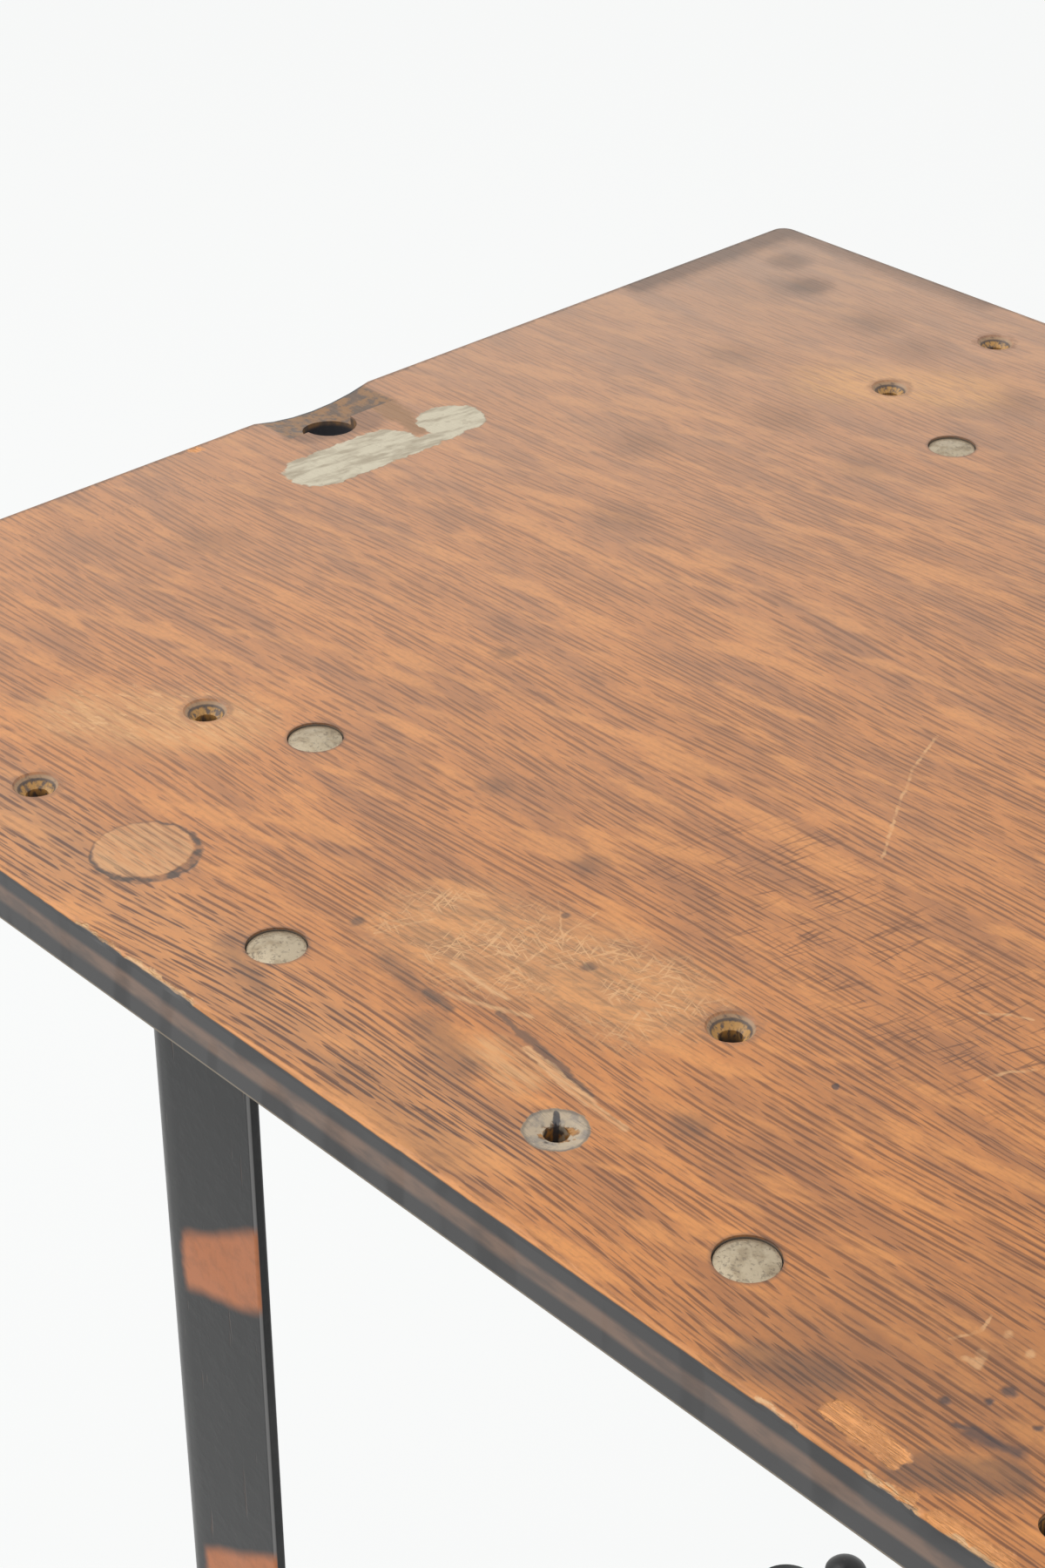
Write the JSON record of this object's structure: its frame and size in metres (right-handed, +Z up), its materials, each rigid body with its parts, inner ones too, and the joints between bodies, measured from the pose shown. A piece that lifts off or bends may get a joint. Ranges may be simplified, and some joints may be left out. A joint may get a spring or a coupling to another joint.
{
  "type": "typewriter desk",
  "caption": "Old industrial typewriter desk with an oak-veneered plywood top on a black angle-steel base with swivel casters.",
  "frame": {"origin": "on the floor under the middle of the top", "axes": "+X along the length to the right of someone seated at the desk, +Y towards the back, +Z up"},
  "size_m": [0.9144, 0.4572, 0.68],
  "materials": {
    "oak_ply": "worn varnish",
    "black_enamel": "worn gloss",
    "bolt_zinc": "dull plated",
    "caster_steel": "dull",
    "wheel_rubber": "matte"
  },
  "bodies": {
    "root": {"desk_top": "oak_ply", "top_bolts": "bolt_zinc", "top_nuts": "bolt_zinc", "front_rail": "black_enamel", "rear_rail": "black_enamel", "left_rail": "black_enamel", "right_rail": "black_enamel", "leg_front_left": "black_enamel", "leg_front_right": "black_enamel", "leg_rear_left": "black_enamel", "leg_rear_right": "black_enamel", "front_runner": "black_enamel", "rear_runner": "black_enamel", "left_stretcher": "black_enamel", "right_stretcher": "black_enamel", "centre_stretcher": "black_enamel", "caster_sockets": "black_enamel"},
    "caster_front_left": {"caster_fork_front_left": "caster_steel", "caster_axle_front_left": "caster_steel"},
    "wheel_front_left": {"caster_wheel_front_left": "wheel_rubber"},
    "caster_front_right": {"caster_fork_front_right": "caster_steel", "caster_axle_front_right": "caster_steel"},
    "wheel_front_right": {"caster_wheel_front_right": "wheel_rubber"},
    "caster_rear_left": {"caster_fork_rear_left": "caster_steel", "caster_axle_rear_left": "caster_steel"},
    "wheel_rear_left": {"caster_wheel_rear_left": "wheel_rubber"},
    "caster_rear_right": {"caster_fork_rear_right": "caster_steel", "caster_axle_rear_right": "caster_steel"},
    "wheel_rear_right": {"caster_wheel_rear_right": "wheel_rubber"}
  },
  "joints": [
    {"name": "swivel_front_left", "type": "hinge", "parent": "root", "child": "caster_front_left", "pos_m": [-0.333, -0.17105, 0.066], "axis": [0, 0, 1], "continuous": true},
    {"name": "roll_front_left", "type": "hinge", "parent": "caster_front_left", "child": "wheel_front_left", "pos_m": [-0.35838, -0.15922, 0.025], "axis": [-0.4226, -0.9063, 0], "continuous": true},
    {"name": "swivel_front_right", "type": "hinge", "parent": "root", "child": "caster_front_right", "pos_m": [0.333, -0.17105, 0.066], "axis": [0, 0, 1], "continuous": true},
    {"name": "roll_front_right", "type": "hinge", "parent": "caster_front_right", "child": "wheel_front_right", "pos_m": [0.30762, -0.15922, 0.025], "axis": [-0.4226, -0.9063, 0], "continuous": true},
    {"name": "swivel_rear_left", "type": "hinge", "parent": "root", "child": "caster_rear_left", "pos_m": [-0.333, 0.17105, 0.066], "axis": [0, 0, 1], "continuous": true},
    {"name": "roll_rear_left", "type": "hinge", "parent": "caster_rear_left", "child": "wheel_rear_left", "pos_m": [-0.35838, 0.18288, 0.025], "axis": [-0.4226, -0.9063, 0], "continuous": true},
    {"name": "swivel_rear_right", "type": "hinge", "parent": "root", "child": "caster_rear_right", "pos_m": [0.333, 0.17105, 0.066], "axis": [0, 0, 1], "continuous": true},
    {"name": "roll_rear_right", "type": "hinge", "parent": "caster_rear_right", "child": "wheel_rear_right", "pos_m": [0.30762, 0.18288, 0.025], "axis": [-0.4226, -0.9063, 0], "continuous": true}
  ]
}
